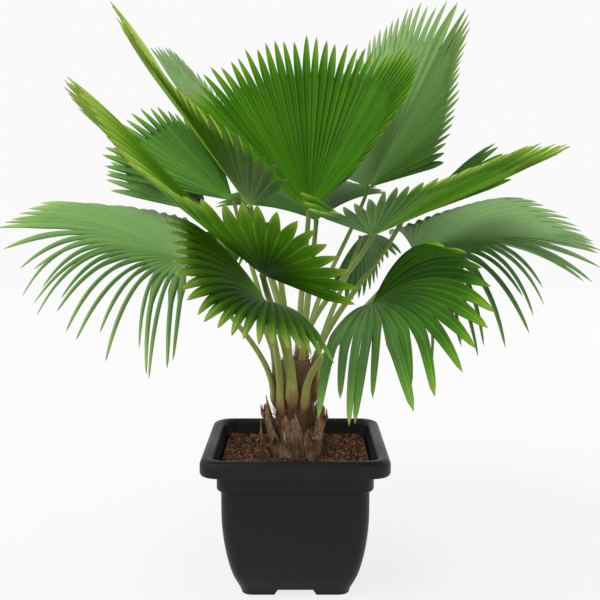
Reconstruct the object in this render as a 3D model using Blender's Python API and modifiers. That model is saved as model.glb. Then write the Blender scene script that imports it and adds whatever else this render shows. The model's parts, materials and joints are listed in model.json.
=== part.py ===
"""A fan palm in a square planter, in metres with +Z up.

The planter stands on the floor at Z = 0. The crown's spread is centred on the origin, so the
planter's own axis stands a little to one side of it. Every stem starts beside or on the trunk
and ends at the hub of its blade, and every blade is a fan of segments around that hub.
"""

import math

import bmesh
import bpy
import numpy as np
from mathutils import Matrix, Vector

# Driving dimensions
AXIS = Vector((-0.01, 0.07, 0.0))  # where the planter's axis meets the floor
GAP = 0.0005  # clearance between pieces that touch

RIM_HALF = 0.200
RIM_TOP = 0.318
RIM_HEIGHT = 0.036
RIM_WIDTH = 0.027
COLLAR_HALF = 0.167
COLLAR_HEIGHT = 0.040
BODY_HALF = 0.1585
BASE_HALF = 0.117
WALL = 0.0035
FLOOR_TOP = 0.022
CORNER_SHARE = 0.20  # corner radius as a share of the half width
CORNER_STEPS = 6

FOOT_HEIGHT = 0.013
NOTCH_HALF = 0.046
NOTCH_SLOPE = 0.008
DRAIN_RADIUS = 0.007
DRAIN_OFFSET = 0.035

SOIL_TOP = 0.288
SOIL_MOUND = 0.006
SOCKET_RADIUS = 0.056
SOCKET_DEPTH = 0.045

TRUNK_TOP = 0.500
# Shares of the trunk's height, and its radius there
TRUNK_PROFILE = ((0.0, 0.052), (0.25, 0.053), (0.5, 0.046), (0.8, 0.040), (0.96, 0.036), (1.0, 0.031))
OLD_BASE_THICKNESS = 0.004
OLD_BASE_TEAR = 0.010  # how far the torn top edge goes up and down

STEM_END = 0.0045
BLADE_START = 0.0065  # the blade's inner edge, from the hub
BLADE_THICKNESS = 0.0016
SEGMENT_ANGLE = 7.0  # degrees between the ribs of the plain blade
UNITED = 0.78  # share of a segment's length that is joined to its neighbours

# Each leaf: the hub's place from the planter's axis, the length of its longest segment, the reach
# of its first and last segment as shares of that, how far the segments bow above a straight line,
# where the stem starts and how thick it is there, and the fan. A stem starts beside the trunk at
# (degrees around, height), or on its top at (degrees around, distance from the axis). The fan is
# the azimuth and the rise, in degrees, of directions from one edge of the blade to the other.
LEAVES = {
    "01": dict(
        hub=(0.03, 0.00, 0.83), length=0.415, edges=(0.92, 0.60), bow=0.0, top=(60, 0.013),
        radius=0.008,
        fan=((172, 38), (158, 54), (100, 72), (40, 62), (-15, 54), (-42, 42), (-58, 30), (-68, 18)),
    ),
    "02": dict(
        hub=(-0.09, -0.20, 0.84), length=0.46, edges=(0.95, 0.95), bow=0.0, top=(230, 0.026),
        radius=0.008,
        fan=((160, 52), (-175, 56), (-152, 54), (-132, 47), (-113, 34), (-99, 22), (-88, 15), (-78, 6)),
    ),
    "03": dict(
        hub=(-0.06, -0.32, 0.715), length=0.50, edges=(0.95, 0.90), bow=0.0, beside=(262, 0.425),
        radius=0.0125,
        fan=(
            (162, 40), (-176, 44), (-160, 45), (-145, 43), (-129, 36), (-114, 25),
            (-101, 18), (-89, 17), (-79, 13), (-71, 4), (-70, -2),
        ),
    ),
    "04": dict(
        hub=(-0.05, -0.27, 0.65), length=0.40, edges=(0.90, 0.90), bow=0.03, beside=(231, 0.405),
        radius=0.0095,
        fan=((-122, 32), (-114, 21), (-109, 11), (-102, 3), (-90, -1), (-80, -4), (-70, -8)),
    ),
    "05": dict(
        hub=(0.15, -0.25, 0.65), length=0.43, edges=(0.92, 0.92), bow=0.04, beside=(293, 0.410),
        radius=0.0095,
        fan=(
            (-78, 21), (-70, 17), (-67, 10), (-69, 2),
            (-77, -8), (-90, -14), (-103, -18), (-112, -16),
        ),
    ),
    "06": dict(
        hub=(0.16, -0.14, 0.78), length=0.42, edges=(0.90, 0.90), bow=0.0, top=(305, 0.026),
        radius=0.008,
        fan=(
            (-116, 16), (-111, 9), (-100, 10), (-90, 14), (-75, 17),
            (-50, 24), (-25, 25), (5, 24), (35, 18),
        ),
    ),
    "07": dict(
        hub=(0.17, 0.12, 0.88), length=0.46, edges=(0.85, 0.85), bow=0.0, top=(15, 0.026), radius=0.008,
        fan=(
            (128, 15), (110, 35), (90, 52), (72, 64), (30, 70),
            (5, 62), (38, 46), (48, 31), (54, 18), (55, 9),
        ),
    ),
    "08": dict(
        hub=(0.26, 0.00, 0.74), length=0.40, edges=(0.92, 0.92), bow=0.03, beside=(352, 0.430),
        radius=0.0095,
        fan=(
            (95, 2), (65, 12), (38, 17), (20, 11), (3, 4),
            (-25, 0), (-48, -4), (-66, -15), (-78, -24), (-88, -25),
        ),
    ),
    "09": dict(
        hub=(-0.24, 0.00, 0.72), length=0.40, edges=(0.92, 0.92), bow=0.03, beside=(190, 0.415),
        radius=0.0095,
        fan=(
            (95, 12), (115, 16), (140, 18), (165, 18), (182, 13),
            (205, 6), (228, -1), (244, -12), (262, -19), (276, -18),
        ),
    ),
    "10": dict(
        hub=(-0.14, 0.12, 0.91), length=0.42, edges=(0.85, 0.85), bow=0.0, top=(150, 0.026),
        radius=0.008,
        fan=((165, 55), (135, 52), (115, 42), (100, 30), (92, 15), (84, 2)),
    ),
    "11": dict(
        hub=(-0.14, 0.05, 0.85), length=0.42, edges=(0.90, 0.90), bow=0.0, beside=(165, 0.450),
        radius=0.009,
        fan=((100, 20), (112, 30), (125, 34), (137, 32), (150, 20), (150, 8)),
    ),
    "12": dict(
        hub=(-0.20, 0.08, 0.82), length=0.42, edges=(0.90, 0.90), bow=0.0, beside=(138, 0.430),
        radius=0.009,
        fan=((100, 18), (112, 25), (124, 27), (133, 22), (137, 14), (136, 7)),
    ),
    "13": dict(
        hub=(0.15, 0.06, 0.77), length=0.36, edges=(0.90, 0.90), bow=0.02, beside=(20, 0.450),
        radius=0.009,
        fan=((66, -10), (76, -13), (81, -24), (92, -32), (104, -30)),
    ),
    "14": dict(
        hub=(0.25, 0.15, 0.80), length=0.42, edges=(0.90, 0.90), bow=0.0, beside=(46, 0.430),
        radius=0.009,
        fan=((84, 0), (66, 14), (48, 27), (41, 28), (35, 21), (33, 15)),
    ),
    "15": dict(
        hub=(-0.05, 0.10, 0.80), length=0.34, edges=(0.90, 0.90), bow=0.02, beside=(107, 0.450),
        radius=0.009,
        fan=((160, -15), (140, -25), (120, -25), (105, -22)),
    ),
    "16": dict(
        hub=(0.05, 0.24, 0.80), length=0.42, edges=(0.90, 0.90), bow=0.02, beside=(75, 0.420),
        radius=0.0095,
        fan=((138, 4), (120, 12), (95, 16), (72, 14), (55, 10)),
    ),
}


def clear_scene():
    for obj in list(bpy.data.objects):
        bpy.data.objects.remove(obj)


def new_collection(name, helper=False):
    collection = bpy.data.collections.new(name)
    bpy.context.scene.collection.children.link(collection)
    collection.hide_render = helper
    return collection


def material(name, colour, roughness, metallic=0.0):
    made = bpy.data.materials.new(name)
    made.use_nodes = True
    shader = made.node_tree.nodes["Principled BSDF"]
    shader.inputs["Base Color"].default_value = (*colour, 1.0)
    shader.inputs["Roughness"].default_value = roughness
    shader.inputs["Metallic"].default_value = metallic
    return made


def add_object(name, mesh, collection, finish=None):
    obj = bpy.data.objects.new(name, mesh)
    collection.objects.link(obj)
    obj.parent = root
    if finish:
        mesh.materials.append(finish)
    return obj


def mesh_from(bm, name):
    bmesh.ops.recalc_face_normals(bm, faces=bm.faces)
    mesh = bpy.data.meshes.new(name)
    bm.to_mesh(mesh)
    bm.free()
    return mesh


def cutter(name, bm):
    obj = add_object(name, mesh_from(bm, name), cutters)
    obj.hide_render = True
    obj.display_type = "WIRE"
    return obj


def cut(obj, tool):
    modifier = obj.modifiers.new(tool.name, "BOOLEAN")
    modifier.operation = "DIFFERENCE"
    modifier.solver = "EXACT"
    modifier.object = tool


# Planter and soil


def rounded_square(half, z):
    """Points of a square with round corners, half its width from the axis."""
    radius = CORNER_SHARE * half
    points = []
    for corner in range(4):
        turn = math.radians(90 * corner)
        for step in range(CORNER_STEPS + 1):
            angle = turn + math.radians(90 * step / CORNER_STEPS)
            centre = Matrix.Rotation(turn, 3, "Z") @ Vector((half - radius, half - radius, z))
            points.append(centre + radius * Vector((math.cos(angle), math.sin(angle), 0)))
    return points


def loft(rings):
    """A closed skin through rings of points, the first and the last one capped."""
    bm = bmesh.new()
    made = [[bm.verts.new(point) for point in ring] for ring in rings]
    for low, high in zip(made, made[1:]):
        for i in range(len(low)):
            after = (i + 1) % len(low)
            bm.faces.new((low[i], low[after], high[after], high[i]))
    bm.faces.new(made[0])
    bm.faces.new(made[-1])
    return bm


def rim_roll(steps=6):
    """The rim's rounded outer and inner faces, from its lower outer edge over the top."""
    middle = RIM_HALF - RIM_WIDTH / 2
    radius = RIM_WIDTH / 2
    shoulder = RIM_TOP - radius
    points = [(RIM_HALF - 0.004, RIM_TOP - RIM_HEIGHT), (RIM_HALF, RIM_TOP - RIM_HEIGHT + 0.006)]
    for step in range(steps + 1):
        angle = math.pi * step / steps
        points.append((middle + radius * math.cos(angle), shoulder + radius * math.sin(angle)))
    return points


def make_pot():
    collar_bottom = RIM_TOP - RIM_HEIGHT - COLLAR_HEIGHT
    outside = [
        (BASE_HALF, 0.0),
        (BASE_HALF + 0.004, 0.012),
        (BODY_HALF - 0.021, 0.050),
        (BODY_HALF - 0.008, 0.105),
        (BODY_HALF - 0.001, 0.165),
        (BODY_HALF, collar_bottom - 0.006),
        (COLLAR_HALF - 0.003, collar_bottom),
        (COLLAR_HALF, collar_bottom + 0.005),
        (COLLAR_HALF, RIM_TOP - RIM_HEIGHT),
    ]
    inside = [
        (COLLAR_HALF - WALL, RIM_TOP - 0.050),
        (BODY_HALF - WALL, collar_bottom - 0.004),
        (BODY_HALF - WALL, 0.165),
        (BODY_HALF - 0.008 - WALL, 0.105),
        (BODY_HALF - 0.021 - WALL, 0.050),
        (BASE_HALF - 0.002, FLOOR_TOP),
    ]
    profile = outside + rim_roll() + inside
    skin = loft([rounded_square(half, z) for half, z in profile])
    pot = add_object("pot", mesh_from(skin, "pot"), parts, finishes["pot"])
    for name, along in (("notch_x", 0), ("notch_y", 1)):
        cut(pot, notch_cutter(name, along))
    for index, (x, y) in enumerate(((1, 1), (-1, 1), (-1, -1), (1, -1))):
        place = DRAIN_OFFSET * Vector((x, y, 0))
        cut(pot, pin_cutter(f"drain_{index + 1}", place, DRAIN_RADIUS, 0.1))


def notch_cutter(name, along):
    """A long bar with sloping sides that leaves a foot at each corner."""
    bm = bmesh.new()
    bmesh.ops.create_cube(bm, size=1.0)
    for vert in bm.verts:
        top = vert.co.z > 0
        long_way = math.copysign(0.3, vert.co[along])
        side = math.copysign(NOTCH_HALF - (NOTCH_SLOPE if top else -NOTCH_SLOPE), vert.co[1 - along])
        place = Vector((0, 0, FOOT_HEIGHT if top else -FOOT_HEIGHT))
        place[along] = long_way
        place[1 - along] = side
        vert.co = place
    return cutter(name, bm)


def pin_cutter(name, place, radius, depth, sides=16):
    """An upright round bar with its middle at this place."""
    bm = bmesh.new()
    bmesh.ops.create_cone(bm, cap_ends=True, segments=sides, radius1=radius, radius2=radius, depth=depth)
    bmesh.ops.translate(bm, vec=place, verts=bm.verts)
    return cutter(name, bm)


def make_soil():
    inset = WALL + GAP
    levels = [
        (BASE_HALF - 0.004, FLOOR_TOP + GAP),
        (BODY_HALF - 0.021 - inset, 0.051),
        (BODY_HALF - 0.008 - inset, 0.106),
        (BODY_HALF - inset, 0.166),
        (BODY_HALF - inset, RIM_TOP - RIM_HEIGHT - COLLAR_HEIGHT - 0.006),
        (COLLAR_HALF - inset - 0.001, RIM_TOP - 0.052),
        (COLLAR_HALF - inset - 0.001, SOIL_TOP - SOIL_MOUND),
        (0.120, SOIL_TOP - 0.002),
        (0.075, SOIL_TOP),
    ]
    skin = loft([rounded_square(half, z) for half, z in levels])
    soil = add_object("soil", mesh_from(skin, "soil"), parts, finishes["soil"])
    depth = 4 * SOCKET_DEPTH
    place = Vector((0, 0, SOIL_TOP - SOCKET_DEPTH + depth / 2))
    cut(soil, pin_cutter("trunk_socket", place, SOCKET_RADIUS, depth, 24))


# Trunk and old leaf bases


def turned(name, profile, steps):
    """A profile of (radius, height) points turned about the axis with a Screw modifier."""
    mesh = bpy.data.meshes.new(name)
    points = [(radius, 0.0, z) for radius, z in profile]
    mesh.from_pydata(points, [(i, i + 1) for i in range(len(points) - 1)], [])
    obj = add_object(name, mesh, parts)
    screw = obj.modifiers.new("Turn", "SCREW")
    screw.steps = steps
    screw.render_steps = steps
    screw.use_merge_vertices = True
    screw.merge_threshold = 0.0001
    screw.use_normal_flip = True
    return obj


def trunk_radius(z):
    base = SOIL_TOP - SOCKET_DEPTH
    share = (z - base) / (TRUNK_TOP - base)
    shares, radii = zip(*TRUNK_PROFILE)
    return float(np.interp(share, shares, radii))


def make_trunk():
    base = SOIL_TOP - SOCKET_DEPTH + GAP
    top = TRUNK_TOP
    profile = [(0.0, base)]
    profile += [(radius, base + share * (top - base)) for share, radius in TRUNK_PROFILE]
    profile += [(0.0, top)]
    trunk = turned("trunk", profile, 24)
    trunk.data.materials.append(finishes["trunk"])


OLD_BASES = (
    # degrees around the trunk, width in degrees, foot height, top height, distance out, flare
    (275, 56, 0.292, 0.378, 0.0560, 0.012),
    (215, 56, 0.292, 0.396, 0.0560, 0.016),
    (335, 54, 0.292, 0.412, 0.0560, 0.018),
    (155, 54, 0.292, 0.388, 0.0560, 0.014),
    (95, 56, 0.292, 0.400, 0.0560, 0.016),
    (35, 54, 0.292, 0.384, 0.0560, 0.013),
    (245, 46, 0.292, 0.345, 0.0650, 0.020),
    (305, 44, 0.292, 0.352, 0.0650, 0.022),
    (190, 42, 0.292, 0.340, 0.0650, 0.020),
)


def make_old_base(name, around, width, foot, top, distance, flare):
    """A torn leaf base: a curved plate that hugs the trunk and leans out and narrows at its top."""
    across = 5
    levels = 5
    height = top - foot
    bm = bmesh.new()
    rows = []
    for level in range(levels):
        rise = level / (levels - 1)
        out = distance + flare * rise**1.6
        spread = width * (1 - 0.55 * rise**1.4)
        row = []
        for step in range(across):
            angle = math.radians(around + spread * (step / (across - 1) - 0.5))
            torn = OLD_BASE_TEAR * math.cos(2.2 * step + around) * rise
            place = (out * math.cos(angle), out * math.sin(angle), foot + height * rise + torn)
            row.append(bm.verts.new(place))
        rows.append(row)
    for low, high in zip(rows, rows[1:]):
        for i in range(across - 1):
            bm.faces.new((low[i], low[i + 1], high[i + 1], high[i]))
    obj = add_object(name, mesh_from(bm, name), parts, finishes["old_base"])
    wall = obj.modifiers.new("Thickness", "SOLIDIFY")
    wall.thickness = OLD_BASE_THICKNESS
    wall.offset = 0.0


# Leaves


def direction(azimuth, rise):
    a = math.radians(azimuth)
    e = math.radians(rise)
    return Vector((math.cos(e) * math.cos(a), math.cos(e) * math.sin(a), math.sin(e)))


def smooth_fan(controls, samples=24):
    """Unit directions along a smooth curve through the fan's control directions."""
    points = [direction(*control) for control in controls]
    points = [2 * points[0] - points[1], *points, 2 * points[-1] - points[-2]]
    found = []
    for before, start, end, after in zip(points, points[1:], points[2:], points[3:]):
        for step in range(samples):
            f = step / samples
            curve = 2 * start + (end - before) * f
            curve += (2 * before - 5 * start + 4 * end - after) * f * f
            curve += (3 * start - before - 3 * end + after) * f**3
            found.append(curve.normalized())
    found.append(points[-2].normalized())
    return found


def ribs(controls, spacing):
    """Directions spaced evenly along the fan, about this many degrees apart."""
    curve = smooth_fan(controls)
    travelled = np.cumsum([0.0] + [math.degrees(a.angle(b)) for a, b in zip(curve, curve[1:])])
    count = max(3, round(travelled[-1] / spacing))
    even = np.linspace(0, travelled[-1], count + 1)
    columns = [np.interp(even, travelled, [d[axis] for d in curve]) for axis in range(3)]
    return [Vector(row).normalized() for row in zip(*columns)]


def reach(leaf, share):
    """The length of the segment at this share of the way across the fan."""
    edge = leaf["edges"][share > 0.5]
    return leaf["length"] * (1 - (1 - edge) * (2 * share - 1) ** 2)


def blade_point(leaf, towards, share, t):
    length = reach(leaf, share)
    start = BLADE_START / length
    along = start + (1 - start) * t
    point = Vector(leaf["hub"]) + towards * length * along
    point.z += 4 * leaf["bow"] * along * (1 - along)
    return point


def make_blade(number, leaf):
    directions = ribs(leaf["fan"], SEGMENT_ANGLE)
    last = len(directions) - 1
    levels = [0.0, 0.3 * UNITED, 0.65 * UNITED, UNITED]
    bm = bmesh.new()
    columns = []
    for i, towards in enumerate(directions):
        columns.append([bm.verts.new(blade_point(leaf, towards, i / last, t)) for t in levels])
    for i in range(last):
        low, high = columns[i], columns[i + 1]
        for k in range(len(levels) - 1):
            bm.faces.new((low[k], low[k + 1], high[k + 1], high[k]))
        middle = (directions[i] + directions[i + 1]).normalized()
        tip = bm.verts.new(blade_point(leaf, middle, (i + 0.5) / last, 1.0))
        bm.faces.new((low[-1], tip, high[-1]))
    name = f"leaf_{number}_blade"
    blade = add_object(name, mesh_from(bm, name), parts, finishes["blade"])
    wall = blade.modifiers.new("Thickness", "SOLIDIFY")
    wall.thickness = BLADE_THICKNESS
    wall.offset = 0.0


def stem_foot(leaf):
    if "top" in leaf:
        around, distance = leaf["top"]
        height = TRUNK_TOP + GAP
    else:
        around, height = leaf["beside"]
        distance = trunk_radius(height) + leaf["radius"] + GAP
    angle = math.radians(around)
    return Vector((distance * math.cos(angle), distance * math.sin(angle), height))


def stem_points(leaf):
    """The stem's foot, two guides and the hub: it rises beside the trunk and then leans out."""
    foot = stem_foot(leaf)
    hub = Vector(leaf["hub"])
    climb = (hub - foot).length
    guide = foot + Vector((0, 0, 0.30 * climb))
    arrive = hub - (hub - foot).normalized() * 0.30 * climb - Vector((0, 0, 0.03 * climb))
    return foot, guide, arrive, hub


def make_stem(number, leaf):
    foot, guide, arrive, hub = stem_points(leaf)
    name = f"leaf_{number}_stem"
    curve = bpy.data.curves.new(name, "CURVE")
    curve.dimensions = "3D"
    curve.bevel_depth = 1.0
    curve.bevel_resolution = 2
    curve.resolution_u = 8
    curve.use_fill_caps = True
    spline = curve.splines.new("BEZIER")
    spline.bezier_points.add(1)
    first, last = spline.bezier_points
    for point, place, before, after, size in (
        (first, foot, foot - (guide - foot), guide, leaf["radius"]),
        (last, hub, arrive, hub + (hub - arrive), STEM_END),
    ):
        point.co = place
        point.handle_left = before
        point.handle_right = after
        point.radius = size
    obj = bpy.data.objects.new(name, curve)
    parts.objects.link(obj)
    obj.parent = root
    curve.materials.append(finishes["stem"])


clear_scene()
parts = new_collection("potted_palm")
cutters = new_collection("cutters", helper=True)
root = bpy.data.objects.new("planter_axis", None)
parts.objects.link(root)
root.location = AXIS
finishes = {
    "pot": material("planter_plastic", (0.012, 0.012, 0.013), 0.45),
    "soil": material("bark_soil", (0.055, 0.022, 0.010), 0.95),
    "trunk": material("trunk_fibre", (0.080, 0.035, 0.018), 0.9),
    "old_base": material("dry_leaf_base", (0.250, 0.160, 0.090), 0.85),
    "stem": material("green_stem", (0.270, 0.360, 0.090), 0.45),
    "blade": material("green_blade", (0.060, 0.200, 0.020), 0.38),
}
make_pot()
make_soil()
make_trunk()
for index, shape in enumerate(OLD_BASES):
    make_old_base(f"old_leaf_base_{index + 1}", *shape)
for number, leaf in LEAVES.items():
    make_stem(number, leaf)
    make_blade(number, leaf)
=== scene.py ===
# %% [markdown]
# # A fan palm in a square planter
#
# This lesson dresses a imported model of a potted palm. The model gives every size and place. The
# looks come from here: finely pleated leaves, ribbed stems with thorns, a fibrous trunk, bark
# soil and a moulded planter. The leaves, thorns, fibres and bark repeat by a rule, so Geometry
# Nodes make them. The planter and the torn leaf bases are shaped point by point.

import json
import math
import random

import bmesh
import bpy
import numpy as np
from mathutils import Matrix, Vector

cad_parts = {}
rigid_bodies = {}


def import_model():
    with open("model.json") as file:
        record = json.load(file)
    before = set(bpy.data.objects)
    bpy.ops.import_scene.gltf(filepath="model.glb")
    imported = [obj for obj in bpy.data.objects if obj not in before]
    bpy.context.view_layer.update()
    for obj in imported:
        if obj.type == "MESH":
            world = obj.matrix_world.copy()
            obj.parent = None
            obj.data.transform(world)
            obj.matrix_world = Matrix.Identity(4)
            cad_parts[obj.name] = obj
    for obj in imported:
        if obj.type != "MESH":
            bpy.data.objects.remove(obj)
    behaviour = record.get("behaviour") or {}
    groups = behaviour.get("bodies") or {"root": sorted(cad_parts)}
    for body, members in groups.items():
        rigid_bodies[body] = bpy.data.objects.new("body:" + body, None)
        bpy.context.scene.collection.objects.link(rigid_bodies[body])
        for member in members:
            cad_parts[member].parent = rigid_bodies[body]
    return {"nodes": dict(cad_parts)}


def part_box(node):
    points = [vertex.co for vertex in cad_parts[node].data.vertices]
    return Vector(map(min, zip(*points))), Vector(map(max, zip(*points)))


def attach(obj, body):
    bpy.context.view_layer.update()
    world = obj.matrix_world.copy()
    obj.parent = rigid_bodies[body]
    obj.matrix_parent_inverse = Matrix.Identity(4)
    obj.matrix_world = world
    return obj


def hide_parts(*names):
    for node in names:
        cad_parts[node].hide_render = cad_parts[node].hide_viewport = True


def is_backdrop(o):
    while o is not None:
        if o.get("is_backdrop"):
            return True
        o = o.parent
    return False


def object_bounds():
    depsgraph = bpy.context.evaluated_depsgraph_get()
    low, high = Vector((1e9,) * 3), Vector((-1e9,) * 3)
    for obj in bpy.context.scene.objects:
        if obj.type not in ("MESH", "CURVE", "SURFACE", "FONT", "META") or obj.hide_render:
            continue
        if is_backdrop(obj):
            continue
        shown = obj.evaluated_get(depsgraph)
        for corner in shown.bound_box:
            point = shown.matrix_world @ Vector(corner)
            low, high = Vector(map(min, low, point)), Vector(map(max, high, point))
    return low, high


for startup_object in list(bpy.data.objects):
    bpy.data.objects.remove(startup_object)
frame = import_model()
cad_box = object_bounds()
print("nodes:", len(frame["nodes"]))

# %% [markdown]
# The planter stands on the floor and the crown spreads round it, so most pieces are easiest to
# place from the planter's own axis. The planter's box gives that axis, and the boxes of the soil
# and the trunk give the heights where the plant begins.

# %% Where things are
pot_low, pot_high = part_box("pot")
trunk_low, trunk_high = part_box("trunk")
AXIS = Vector(((pot_low.x + pot_high.x) / 2, (pot_low.y + pot_high.y) / 2, 0))
RIM_HALF = (pot_high.x - pot_low.x) / 2
RIM_TOP = pot_high.z
SOIL_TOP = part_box("soil")[1].z
TRUNK_TOP = trunk_high.z
print("planter axis:", [round(value, 4) for value in AXIS], "rim half:", round(RIM_HALF, 4))

# %% [markdown]
# ## Small helpers
#
# `Wiring` adds nodes to a tree in few words: each value that it is given is either a number or the
# output of another node. Its first methods serve both kinds of tree, the next ones materials and
# the last ones Geometry Nodes. `add_piece` puts a mesh in the scene. `settled` turns what an
# object's modifiers make into a plain mesh.


# %% Helpers for nodes
class Wiring:
    """Adds nodes to a tree. A value is a number, a vector or another node's output."""

    def __init__(self, tree):
        self.tree = tree

    def feed(self, socket, value):
        if isinstance(value, bpy.types.NodeSocket):
            self.tree.links.new(value, socket)
        else:
            socket.default_value = value

    def node(self, kind, put=None, **settings):
        made = self.tree.nodes.new(kind)
        for name, value in settings.items():
            setattr(made, name, value)
        for name, value in (put or {}).items():
            self.feed(made.inputs[name], value)
        return made

    def result(self, kind, put=None, **settings):
        """The first output of a new node."""
        return self.node(kind, put, **settings).outputs[0]

    def math(self, operation, a, b=0.0, c=0.0, clamp=False):
        put = {0: a, 1: b, 2: c}
        return self.result("ShaderNodeMath", put, operation=operation, use_clamp=clamp)

    def add(self, a, b):
        return self.math("ADD", a, b)

    def minus(self, a, b):
        return self.math("SUBTRACT", a, b)

    def times(self, a, b, c=None):
        made = self.math("MULTIPLY", a, b)
        return made if c is None else self.math("MULTIPLY", made, c)

    def fitted(self, value, factor, plus):
        return self.math("MULTIPLY_ADD", value, factor, plus)

    def over_zero(self, value):
        return self.math("MAXIMUM", value, 0.0)

    def vector(self, operation, a, b=None, scale=None):
        put = {0: a}
        if b is not None:
            put[1] = b
        if scale is not None:
            put["Scale"] = scale
        return self.result("ShaderNodeVectorMath", put, operation=operation)

    def scaled(self, vector, by):
        return self.vector("SCALE", vector, scale=by)

    def ramp(self, value, low, high, to_low=0.0, to_high=1.0):
        """A smooth step: to_low up to low, to_high from high on."""
        put = {0: value, 1: low, 2: high, 3: to_low, 4: to_high}
        return self.result("ShaderNodeMapRange", put, interpolation_type="SMOOTHSTEP")

    def place(self, height_scale=1.0):
        """The place on the piece. A small height scale draws a pattern out along the height."""
        place = self.node("ShaderNodeTexCoord").outputs["Object"]
        if height_scale == 1.0:
            return place
        put = {"Vector": place, "Scale": (1.0, 1.0, height_scale)}
        return self.result("ShaderNodeMapping", put)

    def noise(self, place, scale, detail=2.0):
        put = {"Vector": place, "Scale": scale, "Detail": detail}
        return self.result("ShaderNodeTexNoise", put)

    def carried(self, name):
        """What the mesh carries under this name, in a material."""
        return self.node("ShaderNodeAttribute", attribute_name=name).outputs["Fac"]

    def mixed(self, share, first, second, mode="MIX"):
        put = {0: share, 6: first, 7: second}
        return self.node("ShaderNodeMix", put, data_type="RGBA", blend_type=mode).outputs[2]

    def grey(self, value):
        return self.result("ShaderNodeCombineColor", {0: value, 1: value, 2: value})

    def colours(self, value, *stops):
        """A colour that runs through these (position, colour) stops."""
        made = self.node("ShaderNodeValToRGB", {0: value})
        steps = made.color_ramp.elements
        for step, (position, colour) in zip(steps, (stops[0], stops[-1])):
            step.position, step.color = position, (*colour, 1)
        for position, colour in stops[1:-1]:
            steps.new(position).color = (*colour, 1)
        return made.outputs[0]

    def finish(self, shader, colour, height, strength, distance):
        """The surface's colour, and its relief from a height pattern."""
        if colour is not None:
            self.feed(shader.inputs["Base Color"], colour)
        put = {"Strength": strength, "Distance": distance, "Height": height}
        self.feed(shader.inputs["Normal"], self.result("ShaderNodeBump", put))

    def stored(self, name, kind="FLOAT"):
        """What the mesh carries under this name, in Geometry Nodes."""
        put = {"Name": name}
        return self.result("GeometryNodeInputNamedAttribute", put, data_type=kind)

    def chance(self, low, high, seed=0):
        """A random number, or a random vector, for each copy."""
        sized = isinstance(low, tuple)
        put = {0: low, 1: high} if sized else {2: low, 3: high}
        put["Seed"] = seed
        kind = "FLOAT_VECTOR" if sized else "FLOAT"
        made = self.node("FunctionNodeRandomValue", put, data_type=kind)
        return made.outputs[0 if sized else 1]

    def scattered(self, given):
        put = {"Mesh": given["Geometry"], "Density": given["Density"], "Seed": given["Seed"]}
        return self.node("GeometryNodeDistributePointsOnFaces", put)

    def real_copies(self, points, instance, **put):
        """Copies of an instance on points, made real. A shade stays the same all over a copy."""
        shade = put.pop("Shade", None)
        put.update({"Points": points, "Instance": instance})
        many = self.result("GeometryNodeInstanceOnPoints", put)
        if shade is not None:
            put = {"Geometry": many, "Name": "shade", "Value": shade}
            many = self.result("GeometryNodeStoreNamedAttribute", put, domain="INSTANCE")
        return self.result("GeometryNodeRealizeInstances", {"Geometry": many})

    def aimed(self, aim, **put):
        put["Vector"] = aim
        return self.result("FunctionNodeAlignRotationToVector", put, axis="Z")

    def smooth(self, geometry):
        put = {"Geometry": geometry, "Shade Smooth": True}
        return self.result("GeometryNodeSetShadeSmooth", put)

    def covered(self, geometry, material):
        put = {"Geometry": geometry, "Material": material}
        return self.result("GeometryNodeSetMaterial", put)

    def joined(self, *parts):
        join = self.node("GeometryNodeJoinGeometry")
        for part in parts:
            self.tree.links.new(part, join.inputs[0])
        return join.outputs[0]


# %% Helpers for pieces
def add_piece(name, mesh):
    piece = bpy.data.objects.new(name, mesh)
    bpy.context.scene.collection.objects.link(piece)
    return piece


def plain_mesh(name, points, edges=(), faces=()):
    mesh = bpy.data.meshes.new(name)
    mesh.from_pydata([tuple(point) for point in points], list(edges), list(faces))
    return mesh


def sheet_faces(rows, columns):
    """The faces of a sheet of points, one row after another."""
    starts = [row * columns + step for row in range(rows - 1) for step in range(columns - 1)]
    return [(a, a + 1, a + columns + 1, a + columns) for a in starts]


def out_from_axis(out, angle, z):
    return AXIS + Vector((out * math.cos(angle), out * math.sin(angle), z))


def store(mesh, name, values, kind="FLOAT"):
    """Keeps one value for each point of a mesh."""
    attribute = mesh.attributes.new(name, kind, "POINT")
    field = "value" if kind == "FLOAT" else "vector"
    attribute.data.foreach_set(field, np.array(values, np.float32).ravel())


def settled(source, name):
    """A new plain piece that holds what the source's modifiers make."""
    graph = bpy.context.evaluated_depsgraph_get()
    mesh = bpy.data.meshes.new_from_object(source.evaluated_get(graph), depsgraph=graph)
    bpy.data.objects.remove(source)
    mesh.name = name
    return add_piece(name, mesh)


def thicken(source, wall):
    """Gives a sheet this wall, half of it on each side."""
    shell = source.modifiers.new("Wall", "SOLIDIFY")
    shell.thickness = wall
    shell.offset = 0.0


def grown(name, mesh, tree, wall=0.0, **values):
    """Runs a Geometry Nodes tree on a mesh, with these inputs, and settles the result."""
    source = add_piece(name + "_source", mesh)
    modifier = source.modifiers.new("Grow", "NODES")
    modifier.node_group = tree
    sockets = {s.name: s.identifier for s in tree.interface.items_tree if s.item_type == "SOCKET"}
    for label, value in values.items():
        modifier[sockets[label.replace("_", " ").capitalize()]] = value
    if wall:
        thicken(source, wall)
    return settled(source, name)


def finish_piece(piece, slot, *nodes):
    """The piece moves with the plant and stands for CAD nodes, which it hides. Its slot is not
    used.
    """
    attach(piece, "root")
    if nodes:
        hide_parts(*nodes)
    print(f"{piece.name}: {len(piece.data.polygons)} faces")


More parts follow.
